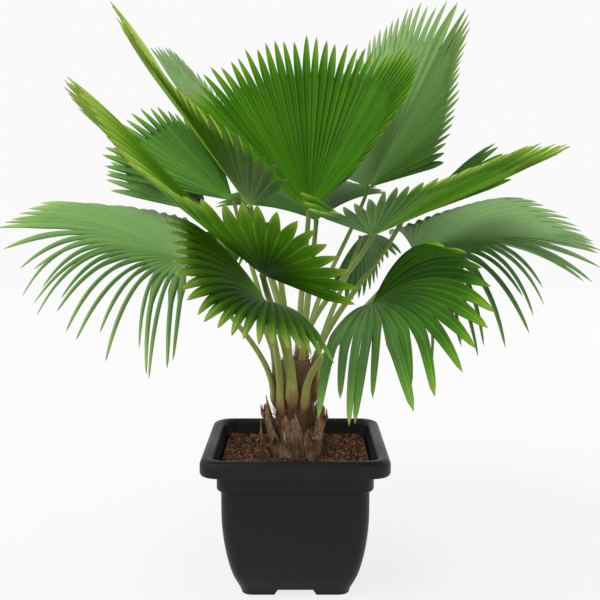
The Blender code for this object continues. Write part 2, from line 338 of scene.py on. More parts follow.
def new_tree(name, *inputs):
    """An empty Geometry Nodes tree: (its wiring, its inputs, its output socket)."""
    tree = bpy.data.node_groups.new(name, "GeometryNodeTree")
    tree.interface.new_socket("Geometry", in_out="INPUT", socket_type="NodeSocketGeometry")
    for label, kind, value in inputs:
        socket = tree.interface.new_socket(label, in_out="INPUT", socket_type="NodeSocket" + kind)
        if value is not None:
            socket.default_value = value
    tree.interface.new_socket("Geometry", in_out="OUTPUT", socket_type="NodeSocketGeometry")
    entry = tree.nodes.new("NodeGroupInput")
    leave = tree.nodes.new("NodeGroupOutput")
    return Wiring(tree), entry.outputs, leave.inputs[0]


# %% [markdown]
# ## Camera and studio
#
# The camera stands about two metres in front, at the height of the middle of the crown, and looks
# a little down. The light is a bright, even studio: a white surround and a wide soft lamp from
# the upper left. The floor glows a little, so that it comes close to the tone of the surround
# and the planter's shadow on it stays faint.

# %% Camera
CAMERA_BACK = 2.095
CAMERA_SIDE = 0.010
CAMERA_HEIGHT = 0.870
CAMERA_TILT = 6.5

camera = bpy.data.objects.new("camera", bpy.data.cameras.new("camera"))
bpy.context.scene.collection.objects.link(camera)
camera.data.lens = 57
camera.data.sensor_width = 36
camera.location = AXIS + Vector((CAMERA_SIDE, -CAMERA_BACK, CAMERA_HEIGHT))
camera.rotation_euler = (math.radians(90 - CAMERA_TILT), 0, 0)
bpy.context.scene.camera = camera
print("camera at", [round(value, 3) for value in camera.location])

# %% Surround, lamps and floor
SURROUND = 0.955
KEY_STRENGTH = 1.5

world = bpy.data.worlds.new("studio")
bpy.context.scene.world = world
world.use_nodes = True
world.node_tree.nodes["Background"].inputs["Color"].default_value = (SURROUND,) * 3 + (1,)
bpy.context.scene.view_settings.view_transform = "Standard"


def soft_sun(name, strength, spread, aim):
    """A wide sun that shines along this direction."""
    lamp = bpy.data.objects.new(name, bpy.data.lights.new(name, "SUN"))
    bpy.context.scene.collection.objects.link(lamp)
    lamp.data.energy = strength
    lamp.data.angle = math.radians(spread)
    lamp.rotation_mode = "QUATERNION"
    lamp.rotation_quaternion = Vector(aim).to_track_quat("-Z", "Y")


soft_sun("key", KEY_STRENGTH, 40, (0.55, 0.45, -1.0))


def plain_material(name, colour, roughness, specular=0.5):
    made = bpy.data.materials.new(name)
    made.use_nodes = True
    shader = made.node_tree.nodes["Principled BSDF"]
    shader.inputs["Base Color"].default_value = (*colour, 1)
    shader.inputs["Roughness"].default_value = roughness
    shader.inputs["Specular IOR Level"].default_value = specular
    return made, shader, Wiring(made.node_tree)


FLOOR_HALF = 6.0
FLOOR_TOP = -0.0005
corners = [
    (x * FLOOR_HALF, y * FLOOR_HALF, FLOOR_TOP) for x, y in ((-1, -1), (1, -1), (1, 1), (-1, 1))
]
floor = add_piece("floor", plain_mesh("floor", corners, faces=[(0, 1, 2, 3)]))
floor_finish, paper, _ = plain_material("floor_paper", (0.14, 0.14, 0.14), 0.9, 0.0)
paper.inputs["Emission Color"].default_value = (1.0, 1.0, 1.0, 1.0)
paper.inputs["Emission Strength"].default_value = 0.785
floor.data.materials.append(floor_finish)
floor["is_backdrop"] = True
print("studio ready")

# %% [markdown]
# ## The planter
#
# A planter like this is moulded in one piece: square with rounded corners, a rolled rim, a collar
# below it and four corner feet. The shape is the same outline at every height, only wider or
# narrower, so it is skinned over rings of that outline. Fine rings over the rim keep its roll
# smooth where it catches the light.


# %% Planter shape
CORNER_SHARE = 0.20
CORNER_STEPS = 14


def rounded_square(half, z):
    """Points of a square with round corners, round the planter's axis."""
    radius = CORNER_SHARE * half
    points = []
    for corner in range(4):
        turn = math.radians(90 * corner)
        for step in range(CORNER_STEPS + 1):
            angle = turn + math.radians(90 * step / CORNER_STEPS)
            centre = Matrix.Rotation(turn, 3, "Z") @ Vector((half - radius, half - radius, z))
            points.append(AXIS + centre + radius * Vector((math.cos(angle), math.sin(angle), 0)))
    return points


def skinned(name, rings):
    """A closed skin over rings of points, its first and last ring capped."""
    around = len(rings[0])
    points = [point for ring in rings for point in ring]
    faces = []
    for low in range(len(rings) - 1):
        for i in range(around):
            after = (i + 1) % around
            a, b = low * around, (low + 1) * around
            faces.append((a + i, a + after, b + after, b + i))
    faces.append(tuple(reversed(range(around))))
    faces.append(tuple(range(len(points) - around, len(points))))
    return plain_mesh(name, points, faces=faces)


def smooth_curve(points, steps):
    """A smooth curve through these points, as vectors."""
    points = [Vector(point) for point in points]
    points = [2 * points[0] - points[1], *points, 2 * points[-1] - points[-2]]
    found = []
    for before, start, end, after in zip(points, points[1:], points[2:], points[3:]):
        for step in range(steps):
            f = step / steps
            curve = 2 * start + (end - before) * f
            curve += (2 * before - 5 * start + 4 * end - after) * f * f
            curve += (3 * start - before - 3 * end + after) * f**3
            found.append(curve / 2)
    return found + [points[-2]]


# %% Planter profile, from the underside up the outside, over the rim and down the inside
RIM_WIDTH = 0.027
RIM_HEIGHT = 0.036
COLLAR_HALF = 0.167
BODY_HALF = 0.1585
BASE_HALF = 0.117
WALL = 0.0035
COLLAR_FOOT = RIM_TOP - RIM_HEIGHT - 0.040

body_outside = smooth_curve(
    [
        (BASE_HALF + 0.001, 0.002),
        (BASE_HALF + 0.004, 0.012),
        (BODY_HALF - 0.021, 0.050),
        (BODY_HALF - 0.008, 0.105),
        (BODY_HALF - 0.001, 0.165),
        (BODY_HALF, COLLAR_FOOT - 0.006),
    ],
    6,
)
collar_outside = [
    (BODY_HALF + 0.0010, COLLAR_FOOT - 0.0045),
    (COLLAR_HALF - 0.0030, COLLAR_FOOT - 0.0005),
    (COLLAR_HALF - 0.0008, COLLAR_FOOT + 0.0015),
    (COLLAR_HALF, COLLAR_FOOT + 0.0050),
    (COLLAR_HALF, RIM_TOP - RIM_HEIGHT - 0.0010),
    (COLLAR_HALF + 0.0010, RIM_TOP - RIM_HEIGHT),
]
rim_lip = [
    (RIM_HALF - 0.0055, RIM_TOP - RIM_HEIGHT),
    (RIM_HALF - 0.0020, RIM_TOP - RIM_HEIGHT + 0.0012),
    (RIM_HALF, RIM_TOP - RIM_HEIGHT + 0.0055),
]
ROLL = RIM_WIDTH / 2
ROLL_STEPS = 18
turns = [math.pi * step / ROLL_STEPS for step in range(ROLL_STEPS + 1)]
rim_roll = [
    (RIM_HALF - ROLL + ROLL * math.cos(turn), RIM_TOP - ROLL + ROLL * math.sin(turn))
    for turn in turns
]
inside = [
    (COLLAR_HALF - WALL, RIM_TOP - 0.050),
    (BODY_HALF - WALL, COLLAR_FOOT - 0.004),
    (BODY_HALF - WALL, 0.165),
    (BODY_HALF - 0.008 - WALL, 0.105),
    (BODY_HALF - 0.021 - WALL, 0.050),
    (BASE_HALF - 0.002, 0.022),
]
outside = [(BASE_HALF, 0.0), *body_outside, *collar_outside, *rim_lip, *rim_roll]
planter_profile = outside + inside
pot_mesh = skinned("pot_skin", [rounded_square(half, z) for half, z in planter_profile])
print("planter rings:", len(planter_profile))

# %% [markdown]
# The feet are what is left between two shallow notches that cross under the base. They are cut
# with a Boolean, as in the model itself.

# %% Cut the notches and make the planter
NOTCH_HALF = 0.046
NOTCH_SLOPE = 0.008
NOTCH_REACH = 0.3
FOOT_HEIGHT = 0.013


def notch(name, along):
    bm = bmesh.new()
    bmesh.ops.create_cube(bm, size=1.0)
    for vert in bm.verts:
        side = -1 if vert.co.z > 0 else 1
        place = Vector((0, 0, -side * FOOT_HEIGHT))
        place[along] = math.copysign(NOTCH_REACH, vert.co[along])
        place[1 - along] = math.copysign(NOTCH_HALF + side * NOTCH_SLOPE, vert.co[1 - along])
        vert.co = AXIS + place
    mesh = bpy.data.meshes.new(name)
    bm.to_mesh(mesh)
    bm.free()
    return add_piece(name, mesh)


pot_source = add_piece("pot_source", pot_mesh)
notches = [notch("notch_x", 0), notch("notch_y", 1)]
for tool in notches:
    cut = pot_source.modifiers.new(tool.name, "BOOLEAN")
    cut.operation = "DIFFERENCE"
    cut.solver = "EXACT"
    cut.object = tool
planter = settled(pot_source, "planter")
for tool in notches:
    bpy.data.objects.remove(tool)
planter.data.shade_smooth()
planter.data.set_sharp_from_angle(angle=math.radians(32))

# %% [markdown]
# Moulded black plastic is never quite even. Its skin has a fine satin grain, and handling and
# dust leave slightly duller clouds. Both are patterns of roughness and height and not of colour,
# which stays close to black.


# %% Planter material
def planter_material():
    made, shader, w = plain_material("moulded_plastic", (0.0060, 0.0060, 0.0064), 0.42, 0.22)
    place = w.place()
    clouds = w.noise(place, 9.0, 3.0)
    grain = w.noise(place, 900.0)
    w.feed(shader.inputs["Roughness"], w.ramp(clouds, 0.3, 0.7, 0.38, 0.50))
    w.finish(shader, None, grain, 0.25, 0.0004)
    return made


planter.data.materials.append(planter_material())
finish_piece(planter, "planter", "pot")

# %% [markdown]
# ## The fans
#
# A fan palm's blade is a disc of narrow segments that are joined for most of their length, folded
# along every join like a paper fan, and free at their tips. The model holds each blade as one
# plain sheet round a hub. Here each leaf has the same hub, reach and fan of directions, and more
# words for its looks: how pale, how much painted sheen and how brown it is from the first segment
# to the last, and which segments have gone limp and hang. The paleness is partly the leaf's own
# green and partly painted backlight, light that would shine through the blade. The painted sheen
# is a grey-green that stands in for the reflection of the bright surround.

# %% The leaves
# hub: place of the hub from the planter's axis; length: reach of the longest segment; edges:
# reach of the first and the last segment as shares of it; bow: rise of a segment above a straight
# line; top or beside: where its stem starts, on the trunk's top or side; radius: the stem's there;
# fan: azimuth and rise of directions across it; paleness, painted sheen and brown: of the first,
# the middle and the last segment, the paleness partly own green and partly painted backlight, the
# sheen a painted reflection of the bright surround; angle: degrees from fold to fold; limp: how its
# limp segments hang.
USUAL_LEAF = dict(edges=(0.90, 0.90), bow=0.0, radius=0.009, painted_sheen=(0, 0, 0), brown=(0, 0, 0))
LEAVES = {
    "01": dict(
        hub=(0.03, 0.00, 0.83), length=0.415, edges=(0.92, 0.60), top=(60, 0.013), radius=0.008,
        fan=((172, 38), (158, 54), (100, 72), (40, 62), (-15, 54), (-42, 42), (-58, 30), (-68, 18)),
        pale_and_backlight=(0.46, 0.42, 0.44),
    ),
    "02": dict(
        hub=(-0.09, -0.20, 0.84), length=0.46, edges=(0.95, 0.95), top=(230, 0.026), radius=0.008,
        fan=(
            (160, 52), (-175, 56), (-152, 54), (-132, 47),
            (-113, 34), (-99, 22), (-88, 15), (-78, 6),
        ),
        pale_and_backlight=(0.88, 0.84, 0.88), brown=(0.05, 0, 0),
    ),
    "03": dict(
        hub=(-0.06, -0.32, 0.715), length=0.50, edges=(0.95, 0.90), beside=(262, 0.425),
        radius=0.0125,
        fan=(
            (162, 40), (-176, 44), (-160, 45), (-145, 43), (-129, 36), (-114, 25),
            (-101, 18), (-89, 17), (-79, 13), (-71, 4), (-70, -2),
        ),
        pale_and_backlight=(0.90, 0.66, 0.56), brown=(0.05, 0.04, 0.08),
    ),
    "04": dict(
        hub=(-0.05, -0.27, 0.65), length=0.40, bow=0.03, beside=(231, 0.405),
        radius=0.0095,
        fan=((-122, 32), (-114, 21), (-109, 11), (-102, 3), (-90, -1), (-80, -4), (-70, -8)),
        pale_and_backlight=(0.80, 0.66, 0.56), painted_sheen=(0, 0.04, 0.12), brown=(0.03, 0.03, 0.03),
    ),
    "05": dict(
        hub=(0.15, -0.25, 0.65), length=0.43, edges=(0.92, 0.92), bow=0.04, beside=(293, 0.410),
        radius=0.0095,
        fan=(
            (-78, 21), (-70, 17), (-67, 10), (-69, 2),
            (-77, -8), (-90, -14), (-103, -18), (-112, -16),
        ),
        pale_and_backlight=(0.42, 0.40, 0.46), painted_sheen=(0, 0.05, 0.38), brown=(0.02, 0.02, 0.03),
        limp=dict(first=0.45, bend=0.9, bend_from=0.65, joined=0.6, shut=0.12), angle=4.6,
    ),
    "06": dict(
        hub=(0.16, -0.14, 0.78), length=0.42, top=(305, 0.026), radius=0.008,
        fan=(
            (-116, 16), (-111, 9), (-100, 10), (-90, 14), (-75, 17),
            (-50, 24), (-25, 25), (5, 24), (35, 18),
        ),
        pale_and_backlight=(0.62, 0.60, 0.82), painted_sheen=(0, 0, 0.12), brown=(0, 0, 0.02),
    ),
    "07": dict(
        hub=(0.17, 0.12, 0.88), length=0.46, edges=(0.85, 0.85), top=(15, 0.026), radius=0.008,
        fan=(
            (128, 15), (110, 35), (90, 52), (72, 64), (30, 70),
            (5, 62), (38, 46), (48, 31), (54, 18), (55, 9),
        ),
        pale_and_backlight=(0.74, 0.72, 0.44), painted_sheen=(0.85, 0.60, 0.0), brown=(0, 0, 0.05),
    ),
    "08": dict(
        hub=(0.26, 0.00, 0.74), length=0.40, edges=(0.92, 0.92), bow=0.03, beside=(352, 0.430),
        radius=0.0095,
        fan=(
            (95, 2), (65, 12), (38, 17), (20, 11), (3, 4),
            (-25, 0), (-48, -4), (-66, -15), (-78, -24), (-88, -25),
        ),
        pale_and_backlight=(0.50, 0.62, 0.48), painted_sheen=(0.50, 0.72, 0.30), brown=(0, 0, 0.03),
        limp=dict(first=0.64, bend=3.2, bend_from=0.42, joined=0.46, shut=0.48), angle=5.0,
    ),
    "09": dict(
        hub=(-0.24, 0.00, 0.72), length=0.40, edges=(0.92, 0.92), bow=0.03, beside=(190, 0.415),
        radius=0.0095,
        fan=(
            (95, 12), (115, 16), (140, 18), (165, 18), (182, 13),
            (205, 6), (228, -1), (244, -12), (262, -19), (276, -18),
        ),
        pale_and_backlight=(0.62, 0.66, 0.56), painted_sheen=(0.55, 0.50, 0.40), brown=(0, 0.02, 0.03),
        limp=dict(first=0.5, bend=3.2, bend_from=0.42, joined=0.46, shut=0.48), angle=5.0,
    ),
    "10": dict(
        hub=(-0.14, 0.12, 0.91), length=0.42, edges=(0.85, 0.85), top=(150, 0.026), radius=0.008,
        fan=((165, 55), (135, 52), (115, 42), (100, 30), (92, 15), (84, 2)),
        pale_and_backlight=(0.78, 0.78, 0.66), painted_sheen=(0.75, 0.75, 0.45),
    ),
    "11": dict(
        hub=(-0.14, 0.05, 0.85), length=0.42, beside=(165, 0.450),
        fan=((100, 20), (112, 30), (125, 34), (137, 32), (150, 20), (150, 8)),
        pale_and_backlight=(0.45, 0.48, 0.45), painted_sheen=(0.15, 0.05, 0.15),
    ),
    "12": dict(
        hub=(-0.20, 0.08, 0.82), length=0.42, beside=(138, 0.430),
        fan=((100, 18), (112, 25), (124, 27), (133, 22), (137, 14), (136, 7)),
        pale_and_backlight=(0.50, 0.55, 0.50), painted_sheen=(0.40, 0.40, 0.30),
    ),
    "13": dict(
        hub=(0.15, 0.06, 0.77), length=0.36, bow=0.02, beside=(20, 0.450),
        fan=((66, -10), (76, -13), (81, -24), (92, -32), (104, -30)),
        pale_and_backlight=(0.28, 0.28, 0.25), painted_sheen=(0.05, 0.05, 0.05),
    ),
    "14": dict(
        hub=(0.25, 0.15, 0.80), length=0.42, beside=(46, 0.430),
        fan=((84, 0), (66, 14), (48, 27), (41, 28), (35, 21), (33, 15)),
        pale_and_backlight=(0.30, 0.34, 0.30), painted_sheen=(0.05, 0.08, 0.05),
    ),
    "15": dict(
        hub=(-0.05, 0.10, 0.80), length=0.34, bow=0.02, beside=(107, 0.450),
        fan=((160, -15), (140, -25), (120, -25), (105, -22)),
        pale_and_backlight=(0.30, 0.30, 0.30), painted_sheen=(0.05, 0.05, 0.05),
    ),
    "16": dict(
        hub=(0.05, 0.24, 0.80), length=0.42, bow=0.02, beside=(75, 0.420), radius=0.0095,
        fan=((138, 4), (120, 12), (95, 16), (72, 14), (55, 10)),
        pale_and_backlight=(0.35, 0.38, 0.35), painted_sheen=(0.10, 0.10, 0.10),
    ),
}
LEAVES = {number: {**USUAL_LEAF, **leaf} for number, leaf in LEAVES.items()}
print("leaves:", len(LEAVES))


# %% Directions across a fan
def direction(azimuth, rise):
    a = math.radians(azimuth)
    e = math.radians(rise)
    return Vector((math.cos(e) * math.cos(a), math.cos(e) * math.sin(a), math.sin(e)))


FAN_STEPS = 24


def folds(controls, spacing):
    """Directions of the folds, about this many degrees apart along the fan."""
    points = [direction(*control) for control in controls]
    curve = [point.normalized() for point in smooth_curve(points, FAN_STEPS)]
    travelled = np.cumsum([0.0] + [math.degrees(a.angle(b)) for a, b in zip(curve, curve[1:])])
    count = max(3, round(travelled[-1] / spacing))
    even = np.linspace(0, travelled[-1], count + 1)
    columns = [np.interp(even, travelled, [d[axis] for d in curve]) for axis in range(3)]
    return [Vector(row).normalized() for row in zip(*columns)]


def fold_faces(rays):
    """The blade's upward side at each fold, square to the fold and to the fan's sweep."""
    faces = []
    for i, ray in enumerate(rays):
        sweep = rays[min(i + 1, len(rays) - 1)] - rays[max(i - 1, 0)]
        faces.append(ray.cross(sweep).normalized())
    return faces


def reach(leaf, share):
    edge = leaf["edges"][share > 0.5]
    return leaf["length"] * (1 - (1 - edge) * (2 * share - 1) ** 2)


# %% [markdown]
# Each segment is one point of a guide mesh at the hub. The point carries what its segment needs:
# the rays of its two folds and of its middle, the side that faces up at each fold, its reach, how
# far it is joined to its neighbours, how it bends, and its colour. Small seeded differences
# between neighbours keep the fan from looking stamped.

# %% Guides for the blades
SEGMENT_ANGLE = 3.3
JOINED = 0.78
STIFF = dict(first=2, bend=0, bend_from=1, joined=JOINED, shut=0)
LIMP_ONSET = 0.08


def blade_guide(number, leaf):
    # limp: first: where across the fan it starts; bend: per metre; bend_from and joined: shares of
    # the reach where the bend and the free part start; shut: how far a strip closes on its rib.
    rays = folds(leaf["fan"], leaf.get("angle", SEGMENT_ANGLE))
    faces = fold_faces(rays)
    count = len(rays) - 1
    chance = random.Random(int(number))
    hub = AXIS + Vector(leaf["hub"])
    guide = plain_mesh(f"guide_{number}", [hub] * count)
    middles = [(rays[i] + rays[i + 1]).normalized() for i in range(count)]
    for name, values in (
        ("ray_left", rays[:-1]), ("ray_middle", middles), ("ray_right", rays[1:]),
        ("face_left", faces[:-1]), ("face_right", faces[1:]),
    ):
        store(guide, name, values, "FLOAT_VECTOR")
    reaches = [reach(leaf, i / count) for i in range(count + 1)]
    shares = [(i + 0.5) / count for i in range(count)]
    limp = leaf.get("limp", STIFF)
    slack = [min(1, max(0, (share - limp["first"]) / LIMP_ONSET)) for share in shares]
    joined = [
        JOINED + (limp["joined"] - JOINED) * s + chance.uniform(-0.035, 0.035) * (1 + 2.5 * s)
        for s in slack
    ]
    bend = [chance.uniform(0.3, 1.1) + limp["bend"] * chance.uniform(0.45, 1.5) * s for s in slack]
    extra = [chance.uniform(0.86 - 0.20 * s, 1.10) for s in slack]
    sway = [chance.uniform(-0.30, 0.30) + s * chance.uniform(-1.3, 1.3) for s in slack]
    for name, values in (
        ("reach_left", reaches[:-1]), ("reach_right", reaches[1:]), ("joined", joined),
        ("bend", bend), ("slack", slack), ("shut", [limp["shut"] * s for s in slack]),
        ("bend_from", [min(j, limp["bend_from"] if s else j) for j, s in zip(joined, slack)]),
        ("extra", extra), ("sway", sway), ("shade", [chance.random() for _ in shares]),
    ):
        store(guide, name, values)
    # Paleness, partly painted backlight; painted sheen, standing in for reflections; and brown.
    for look in ("pale_and_backlight", "painted_sheen", "brown"):
        store(guide, look, np.interp(shares, (0, 0.5, 1), leaf[look]))
    return guide


print("segment angle:", SEGMENT_ANGLE, "joined to", JOINED)

# %% [markdown]
# The tree puts one flat strip on every guide point and then moves the strip's points. `across`
# runs from -1 at one fold to 1 at the next, and `along` from 0 at the hub to 1 at the tip. Up to
# where the segment is joined it fills the space between its folds. Past that it narrows to a
# point. Neighbours share their folds, so merging points that coincide joins the fan.


# %% The blade tree
def blade_tree():
    w, given, out = new_tree(
        "palm_blade",
        ("Hub", "Vector", None), ("Bow", "Float", 0.0), ("Fold depth", "Float", 0.030),
        ("Inner edge", "Float", 0.015), ("Rows", "Int", 30), ("Finish", "Material", None),
    )
    put = {"Size X": 2.0, "Size Y": 1.0, "Vertices X": 5, "Vertices Y": given["Rows"]}
    strip = w.node("GeometryNodeMeshGrid", put).outputs["Mesh"]
    cell = w.node("ShaderNodeSeparateXYZ", {0: w.result("GeometryNodeInputPosition")})
    for name, value in (("across", cell.outputs[0]), ("along", w.add(cell.outputs[1], 0.5))):
        put = {"Geometry": strip, "Name": name, "Value": value}
        strip = w.result("GeometryNodeStoreNamedAttribute", put, domain="POINT")
    real = w.real_copies(given["Geometry"], strip)
    value = w.stored

    def arrow(name):
        return w.stored(name, "FLOAT_VECTOR")

    # How far along the segment, how far along its free part, and how wide it still is.
    inner = given["Inner edge"]
    along = w.add(inner, w.times(value("along"), w.minus(1.0, inner)))
    across = value("across")
    joined = value("joined")
    past_join = w.over_zero(w.minus(along, joined))
    free = w.math("DIVIDE", past_join, w.minus(1.0, joined))
    left_over = w.over_zero(w.minus(1.0, free))
    width = w.math("POWER", left_over, w.add(0.72, w.times(value("slack"), -0.25)))
    shut = w.times(value("shut"), w.math("MINIMUM", w.times(free, 4.0), 1.0))
    width = w.times(width, w.minus(1.0, shut))

    # The ray from the hub through this point of the fan, and the way the blade faces there.
    place = w.add(w.times(across, width), w.times(value("sway"), free))
    middle = arrow("ray_middle")
    to_left = w.over_zero(w.times(place, -1.0))
    left = w.scaled(w.vector("SUBTRACT", arrow("ray_left"), middle), to_left)
    to_right = w.over_zero(place)
    right = w.scaled(w.vector("SUBTRACT", arrow("ray_right"), middle), to_right)
    ray = w.vector("ADD", middle, w.vector("ADD", left, right))
    share = w.fitted(place, 0.5, 0.5)
    put = {0: share, 4: arrow("face_left"), 5: arrow("face_right")}
    face = w.node("ShaderNodeMix", put, data_type="VECTOR").outputs[1]
    put = {0: share, 2: value("reach_left"), 3: value("reach_right")}
    whole = w.result("ShaderNodeMix", put)

    # Straight out at first, then bending downwards round an arc.
    beyond = w.times(past_join, value("extra"))
    distance = w.times(whole, w.add(w.math("MINIMUM", along, joined), beyond))
    curled = w.over_zero(w.minus(distance, w.times(whole, value("bend_from"))))
    straight = w.scaled(ray, w.minus(distance, curled))
    bend = value("bend")
    turn = w.times(bend, curled)
    onward = w.scaled(ray, w.math("DIVIDE", w.math("SINE", turn), bend))
    rise = w.node("ShaderNodeSeparateXYZ", {0: ray}).outputs[2]
    level = w.vector("ADD", (0.0, 0.0, -1.0), w.scaled(ray, rise))
    drop = w.math("DIVIDE", w.minus(1.0, w.math("COSINE", turn)), bend)
    downward = w.scaled(w.vector("NORMALIZE", level), drop)

    # The bow of the whole segment, and its fold: a ridge in the middle, a valley at each side.
    bowed = w.times(w.times(given["Bow"], 4.0, along), w.minus(1.0, along))
    lift = w.result("ShaderNodeCombineXYZ", {2: bowed})
    ridge = w.minus(0.5, w.math("ABSOLUTE", across))
    depth = w.times(w.times(given["Fold depth"], w.times(whole, along)), width)
    depth = w.times(depth, w.fitted(shut, 3.3, 1.0))
    fold = w.scaled(w.vector("NORMALIZE", face), w.times(ridge, depth))
    total = w.vector("ADD", given["Hub"], w.vector("ADD", straight, onward))
    total = w.vector("ADD", total, w.vector("ADD", downward, w.vector("ADD", lift, fold)))
    moved = w.result("GeometryNodeSetPosition", {"Geometry": real, "Position": total})
    put = {"Geometry": moved, "Distance": 0.00004}
    merged = w.result("GeometryNodeMergeByDistance", put)
    w.feed(out, w.covered(w.smooth(merged), given["Finish"]))
    return w.tree


# %% [markdown]
# A live blade is deep green with paler ribs along the folds, fine veins beside them, and yellow
# or brown at the very tips, and old blades go brown. Painted light is added to that: painted
# backlight makes some blades paler, painted shade darkens the valleys of the folds, and a painted
# grey-green sheen stands in for the reflection of the bright surround. All of that follows the
# segment, so the material reads the values that each blade carries.


# %% Blade material
def blade_material():
    made, shader, w = plain_material("palm_leaf", (0.05, 0.17, 0.01), 0.45, 0.07)
    value = w.carried
    place = w.place()
    patches = w.noise(place, 11.0, 4.0)
    specks = w.noise(place, 160.0)
    along = value("along")
    across = w.math("ABSOLUTE", value("across"))

    # Greens, from deep to pale: uneven in patches, palest at the tips and at the hub. A blade's
    # paleness is partly painted backlight, where light would shine through it.
    uneven = w.add(w.fitted(patches, 0.16, -0.08), w.fitted(value("shade"), 0.14, -0.07))
    tips = w.times(w.ramp(along, 0.74, 0.98), 0.36)
    heart = w.ramp(along, 0.0, 0.10, 0.22, 0.0)
    colour = w.colours(
        w.add(w.add(value("pale_and_backlight"), uneven), w.add(tips, heart)),
        (0.00, (0.011, 0.050, 0.002)), (0.35, (0.024, 0.108, 0.002)),
        (0.62, (0.068, 0.225, 0.004)), (0.82, (0.160, 0.340, 0.015)),
        (1.00, (0.300, 0.480, 0.060)),
    )

    # A pale rib on each ridge, fine veins beside it, and painted shade darkening the valleys of the
    # folds.
    rib = w.times(w.ramp(across, 0.05, 0.15, 1.0, 0.0), 0.52)
    colour = w.mixed(rib, colour, w.mixed(1.0, colour, (2.5, 2.0, 3.0, 1), "MULTIPLY"))
    waves = w.math("SINE", w.times(across, 34.0))
    painted_valley_shade = w.ramp(across, 0.80, 0.97, 1.0, 0.55)
    veins_and_painted_shade = w.times(w.times(w.fitted(waves, 0.09, 1.0), painted_valley_shade), w.fitted(specks, 0.24, 0.88))
    grey = w.grey(veins_and_painted_shade)
    colour = w.mixed(1.0, colour, grey, "MULTIPLY")

    # A painted sheen, a grey-green that stands in for the reflection of the bright surround. Then
    # the browning and the dried-out parts.
    sheen_grey = w.mixed(1.0, (0.270, 0.430, 0.200, 1), grey, "MULTIPLY")
    colour = w.mixed(value("painted_sheen"), colour, sheen_grey)
    dry = w.ramp(w.add(patches, w.times(along, 0.3)), 0.45, 0.75, 0.5, 1.6)
    dry = w.math("MULTIPLY", value("brown"), dry, clamp=True)
    colour = w.mixed(dry, colour, (0.130, 0.105, 0.030, 1))
    crisp = w.times(w.ramp(along, 0.955, 1.0), w.ramp(value("shade"), 0.35, 0.75))
    colour = w.mixed(crisp, colour, (0.300, 0.200, 0.075, 1))

    w.feed(shader.inputs["Roughness"], w.fitted(patches, 0.16, 0.38))
    w.finish(shader, colour, w.add(waves, w.times(specks, 0.6)), 0.30, 0.0003)
    return made


# %% Grow the blades
LEAF_THICKNESS = 0.0006
palm_blade = blade_tree()
palm_leaf = blade_material()
for number, leaf in LEAVES.items():
    blade = grown(
        f"blade_{number}", blade_guide(number, leaf), palm_blade, LEAF_THICKNESS,
        hub=AXIS + Vector(leaf["hub"]), bow=leaf["bow"], finish=palm_leaf,
    )
    finish_piece(blade, "leaf_blade", f"leaf_{number}_blade")

# %% [markdown]
# ## The stems
#
# A fan palm's stem is thick and a little grooved where it leaves the trunk, thins towards the
# blade, and carries a row of small hooked thorns on each edge of its lower part. Each guide here
# is the stem's own line, with its thickness at every point. The tree sweeps a flattened outline
# along it and sets thorns on both edges.

# %% Guides for the stems
STEM_END = 0.0055
STEM_STEPS = 28
BASE_FLARE = 0.20  # how much thicker a stem's foot is
FLARE_SHARE = 0.16  # how much of the stem's length the flare takes
CURVE_SHARE = 0.30  # how far the guides of its curve reach, as shares of its climb
HUB_SAG = 0.03
STEM_ROOT = 0.034  # how far a stem runs down into the trunk's fibres
ROOT_LEAN = 1.6  # how far it goes inwards there, in stem radii
ROOT_RINGS = ((1.0, 0.35), (0.75, 0.60), (0.5, 0.80), (0.22, 0.95))  # depth, thickness
GAP = 0.0005
TRUNK_SHARES = (0.0, 0.25, 0.5, 0.8, 0.96, 1.0)
TRUNK_RADII = (0.052, 0.053, 0.046, 0.040, 0.036, 0.031)


def trunk_radius(z):
    share = (z - trunk_low.z) / (TRUNK_TOP - trunk_low.z)
    return float(np.interp(share, TRUNK_SHARES, TRUNK_RADII))


def stem_foot(leaf):
    if "top" in leaf:
        around, distance = leaf["top"]
        height = TRUNK_TOP + GAP
    else:
        around, height = leaf["beside"]
        distance = trunk_radius(height) + leaf["radius"] + GAP
    angle = math.radians(around)
    return Vector((distance * math.cos(angle), distance * math.sin(angle), height))


def stem_guide(number, leaf):
    foot = stem_foot(leaf)
    hub = Vector(leaf["hub"])
    climb = (hub - foot).length
    guide = foot + Vector((0, 0, CURVE_SHARE * climb))
    arrive = hub - (hub - foot).normalized() * CURVE_SHARE * climb
    arrive -= Vector((0, 0, HUB_SAG * climb))
    inward = Vector((-foot.x, -foot.y, 0)).normalized()
    points, radii = [], []
    for sunk, shrink in ROOT_RINGS:
        lean = inward * leaf["radius"] * ROOT_LEAN * sunk**2
        points.append(AXIS + foot + lean - Vector((0, 0, STEM_ROOT * sunk)))
        radii.append(leaf["radius"] * shrink * (1 + BASE_FLARE))
    for step in range(STEM_STEPS + 1):
        t = step / STEM_STEPS
        a, b, c, d = (1 - t) ** 3, 3 * t * (1 - t) ** 2, 3 * t * t * (1 - t), t**3
        points.append(AXIS + a * foot + b * guide + c * arrive + d * hub)
        flare = 1 + BASE_FLARE * max(0.0, 1 - t / FLARE_SHARE) ** 2
        radii.append((leaf["radius"] + (STEM_END - leaf["radius"]) * t) * flare)
    radii[-1] = STEM_END * 1.25
    last = len(points) - 1
    mesh = plain_mesh(f"line_{number}", points, [(i, i + 1) for i in range(last)])
    store(mesh, "thick", radii)
    store(mesh, "climb", [i / last for i in range(last + 1)])
    return mesh


